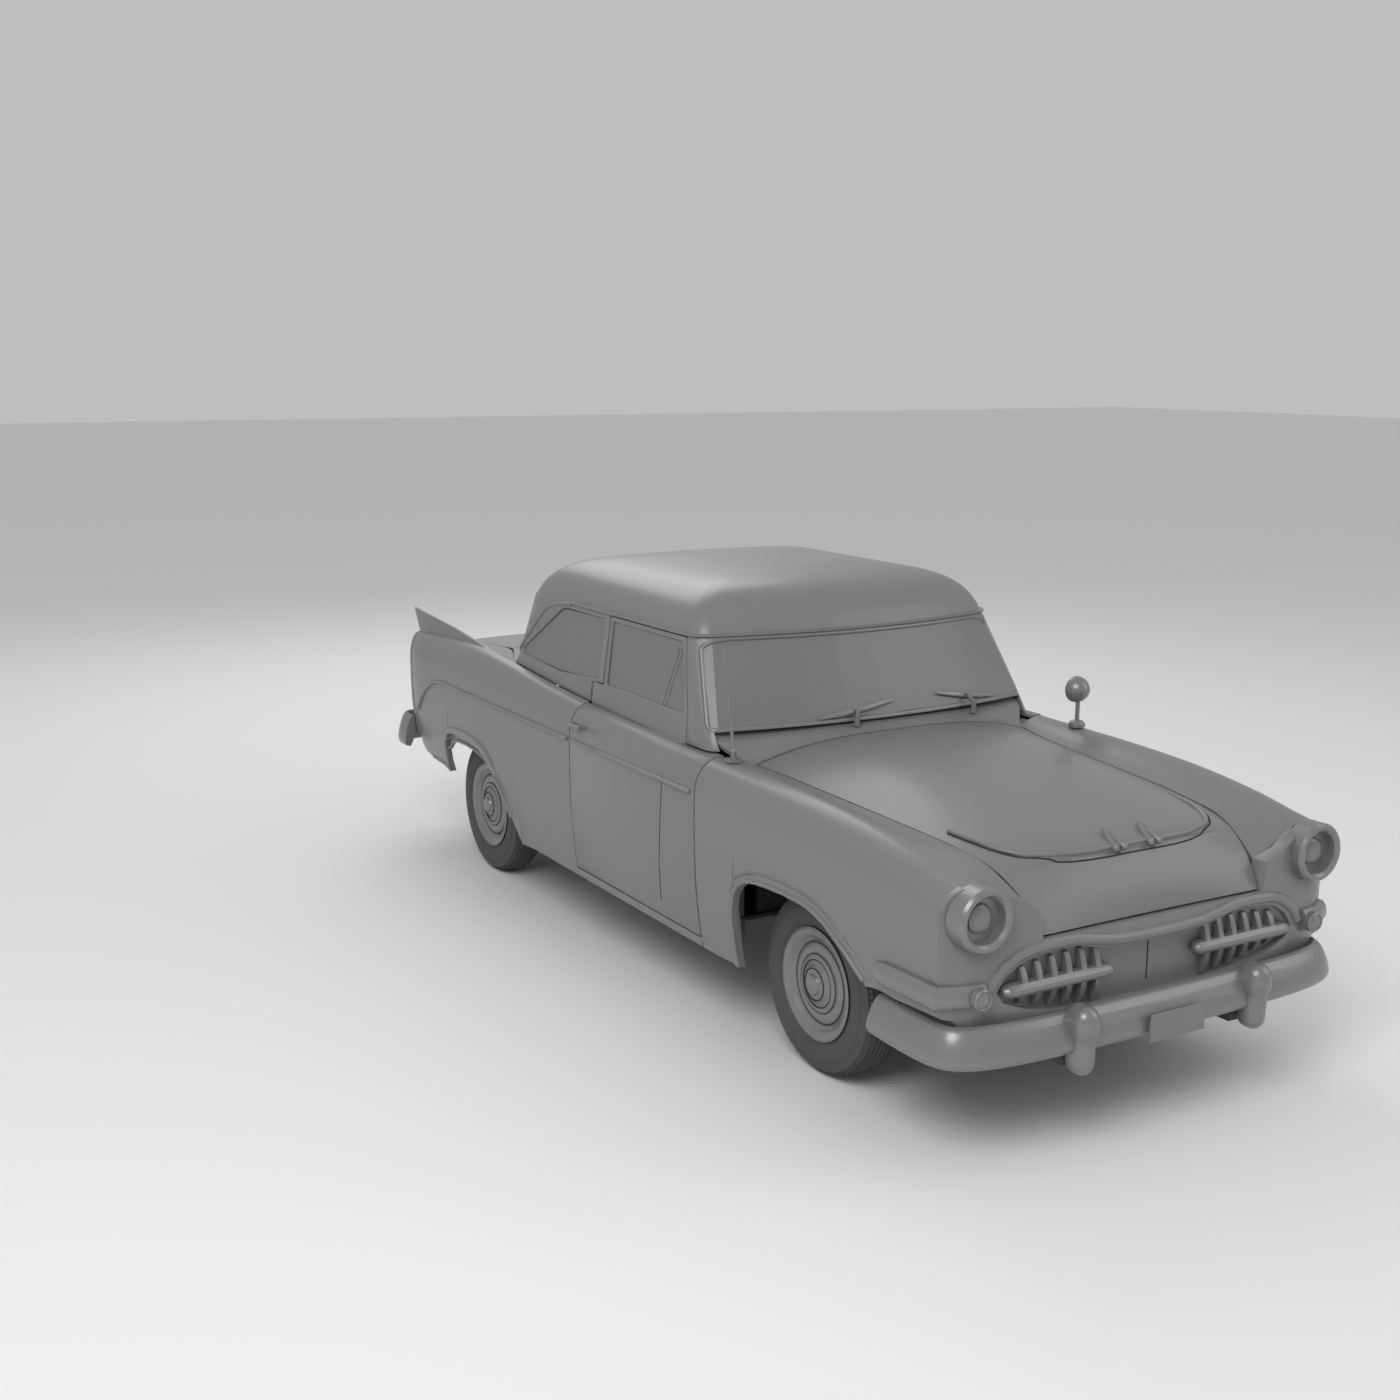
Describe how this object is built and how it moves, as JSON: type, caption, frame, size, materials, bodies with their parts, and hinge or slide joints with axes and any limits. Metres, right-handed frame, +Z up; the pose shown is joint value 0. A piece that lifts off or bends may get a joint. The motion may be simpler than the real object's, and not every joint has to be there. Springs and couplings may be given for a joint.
{
  "type": "two-door sedan car",
  "caption": "Two-door sedan in the style of the 1950s with tail fins, wraparound windshield, opening doors, hood and trunk, steered front wheels and free-turning wheels.",
  "frame": {"origin": "on the ground under the middle of the overall box", "axes": "-Y is the car's front, +X its left side, +Z up"},
  "size_m": [1.8816, 4.9547, 1.68],
  "materials": {
    "body_paint": "satin grey paint",
    "chassis_paint": "matt dark grey paint",
    "cast_metal": "painted casting",
    "bare_steel": "dull steel",
    "grey_glass": "opaque grey glass",
    "bright_trim": "satin bright trim",
    "tyre_rubber": "matt rubber",
    "seat_cloth": "woven seat cloth",
    "cabin_plastic": "fine grained plastic"
  },
  "bodies": {
    "body": {"frame": "chassis_paint", "floor": "chassis_paint", "rockers": "body_paint", "door_posts": "body_paint", "inner_fenders": "chassis_paint", "engine": "cast_metal", "front_suspension": "chassis_paint", "rear_axle": "chassis_paint", "fuel_tank": "chassis_paint", "exhaust": "bare_steel", "front_fenders": "body_paint", "nose_panel": "body_paint", "cowl": "body_paint", "rear_quarters": "body_paint", "deck_panel": "body_paint", "tail_panel": "body_paint", "roof": "body_paint", "pillars": "body_paint", "windshield": "grey_glass", "rear_window": "grey_glass", "quarter_windows": "grey_glass", "front_bumper": "bright_trim", "rear_bumper": "bright_trim", "grille": "bright_trim", "headlamps": "bright_trim", "parking_lamps": "bright_trim", "tail_lamps": "bright_trim", "wipers": "bright_trim", "side_mirror": "bright_trim", "antenna": "bright_trim", "quarter_trim": "bright_trim", "dashboard": "cabin_plastic", "front_seat": "seat_cloth", "rear_seat": "seat_cloth"},
    "door_left": {"door_left": "body_paint", "door_glass_left": "grey_glass", "door_trim_left": "bright_trim"},
    "door_right": {"door_right": "body_paint", "door_glass_right": "grey_glass", "door_trim_right": "bright_trim"},
    "hood": {"hood": "body_paint", "hood_ornaments": "bright_trim"},
    "trunk_lid": {"trunk_lid": "body_paint"},
    "knuckle_left": {"knuckle_left": "chassis_paint"},
    "knuckle_right": {"knuckle_right": "chassis_paint"},
    "wheel_front_left": {"tyre_front_left": "tyre_rubber", "wheel_front_left": "bright_trim"},
    "wheel_front_right": {"tyre_front_right": "tyre_rubber", "wheel_front_right": "bright_trim"},
    "wheel_rear_left": {"tyre_rear_left": "tyre_rubber", "wheel_rear_left": "bright_trim"},
    "wheel_rear_right": {"tyre_rear_right": "tyre_rubber", "wheel_rear_right": "bright_trim"},
    "steering_wheel": {"steering_wheel": "cabin_plastic"}
  },
  "joints": [
    {"name": "door_left_hinge", "type": "hinge", "parent": "body", "child": "door_left", "pos_m": [0.882, -0.717, 0.76], "axis": [0, 0, -1], "range_deg": [0, 65]},
    {"name": "door_right_hinge", "type": "hinge", "parent": "body", "child": "door_right", "pos_m": [-0.882, -0.717, 0.76], "axis": [0, 0, 1], "range_deg": [0, 65]},
    {"name": "hood_hinge", "type": "hinge", "parent": "body", "child": "hood", "pos_m": [0, -0.857, 1.062], "axis": [-1, 0, 0], "range_deg": [0, 50]},
    {"name": "trunk_hinge", "type": "hinge", "parent": "body", "child": "trunk_lid", "pos_m": [0, 1.305, 1.118], "axis": [1, 0, 0], "range_deg": [0, 70]},
    {"name": "steer_left", "type": "hinge", "parent": "body", "child": "knuckle_left", "pos_m": [0.61, -1.455, 0.338], "axis": [0, 0, 1], "range_deg": [-30, 30]},
    {"name": "steer_right", "type": "hinge", "parent": "body", "child": "knuckle_right", "pos_m": [-0.61, -1.455, 0.338], "axis": [0, 0, 1], "range_deg": [-30, 30]},
    {"name": "spin_front_left", "type": "hinge", "parent": "knuckle_left", "child": "wheel_front_left", "pos_m": [0.695, -1.455, 0.338], "axis": [1, 0, 0], "continuous": true},
    {"name": "spin_front_right", "type": "hinge", "parent": "knuckle_right", "child": "wheel_front_right", "pos_m": [-0.695, -1.455, 0.338], "axis": [1, 0, 0], "continuous": true},
    {"name": "spin_rear_left", "type": "hinge", "parent": "body", "child": "wheel_rear_left", "pos_m": [0.695, 1.441, 0.338], "axis": [1, 0, 0], "continuous": true},
    {"name": "spin_rear_right", "type": "hinge", "parent": "body", "child": "wheel_rear_right", "pos_m": [-0.695, 1.441, 0.338], "axis": [1, 0, 0], "continuous": true},
    {"name": "steering_turn", "type": "hinge", "parent": "body", "child": "steering_wheel", "pos_m": [0.38, -0.525, 1.006], "axis": [0, 0.9063, 0.4226], "range_deg": [-480, 480]}
  ],
  "couplings": [
    {"joint": "steer_right", "follows": "steer_left", "ratio": 1},
    {"joint": "steering_turn", "follows": "steer_left", "ratio": 16}
  ]
}
